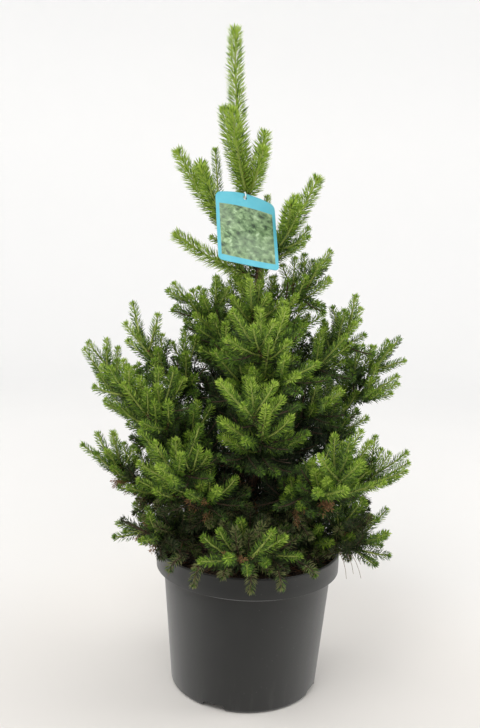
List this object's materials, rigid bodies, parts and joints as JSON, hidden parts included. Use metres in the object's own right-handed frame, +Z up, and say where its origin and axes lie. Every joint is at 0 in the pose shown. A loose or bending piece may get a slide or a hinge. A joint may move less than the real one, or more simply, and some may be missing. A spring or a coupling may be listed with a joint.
{
  "type": "potted dwarf norway spruce",
  "caption": "Young dwarf spruce with a dense rounded crown, a slender whorled top and a tall leader, standing in a round nursery pot with a plastic plant label tied to its stem.",
  "frame": {"origin": "on the pot's axis, at the flat underside that the pot stands on", "axes": "+Z up along the pot's axis; -Y faces the viewer of the picture and +X is to that viewer's right"},
  "size_m": [0.4616, 0.4244, 0.8775],
  "materials": {
    "pot_plastic": "matte",
    "peat_soil": "matte",
    "bark": "matte",
    "needles": "satin",
    "young_needles": "satin",
    "label_plastic": "satin",
    "tie_plastic": "satin"
  },
  "bodies": {
    "root": {"pot": "pot_plastic", "soil": "peat_soil", "trunk": "bark", "bough_skirt_1": "bark", "bough_skirt_2": "bark", "bough_skirt_3": "bark", "bough_skirt_4": "bark", "bough_skirt_5": "bark", "bough_lower_1": "bark", "bough_lower_2": "bark", "bough_lower_3": "bark", "bough_lower_4": "bark", "bough_lower_5": "bark", "bough_lower_6": "bark", "bough_middle_1": "bark", "bough_middle_2": "bark", "bough_middle_3": "bark", "bough_middle_4": "bark", "bough_middle_5": "bark", "bough_upper_1": "bark", "bough_upper_2": "bark", "bough_upper_3": "bark", "bough_upper_4": "bark", "mass_skirt_1": "needles", "mass_skirt_2": "needles", "mass_skirt_3": "needles", "mass_skirt_4": "needles", "mass_skirt_5": "needles", "mass_lower_1": "needles", "mass_lower_2": "needles", "mass_lower_3": "needles", "mass_lower_4": "needles", "mass_lower_5": "needles", "mass_lower_6": "needles", "mass_middle_1": "needles", "mass_middle_2": "needles", "mass_middle_3": "needles", "mass_middle_4": "needles", "mass_middle_5": "needles", "mass_upper_1": "needles", "mass_upper_2": "needles", "mass_upper_3": "needles", "mass_upper_4": "needles", "neck_mass_right": "young_needles", "neck_mass_back": "young_needles", "neck_mass_front": "young_needles", "neck_mass_left": "young_needles", "heart_mass_right": "young_needles", "whorl_mass_left": "young_needles", "whorl_mass_front_left": "young_needles", "whorl_mass_low_left": "young_needles", "whorl_mass_right": "young_needles", "whorl_mass_back": "young_needles", "top_mass_left": "young_needles", "top_mass_front": "young_needles", "top_mass_back": "young_needles", "top_mass_right": "young_needles", "leader_mass": "young_needles", "label_card": "label_plastic", "label_tie": "tie_plastic"}
  },
  "joints": []
}
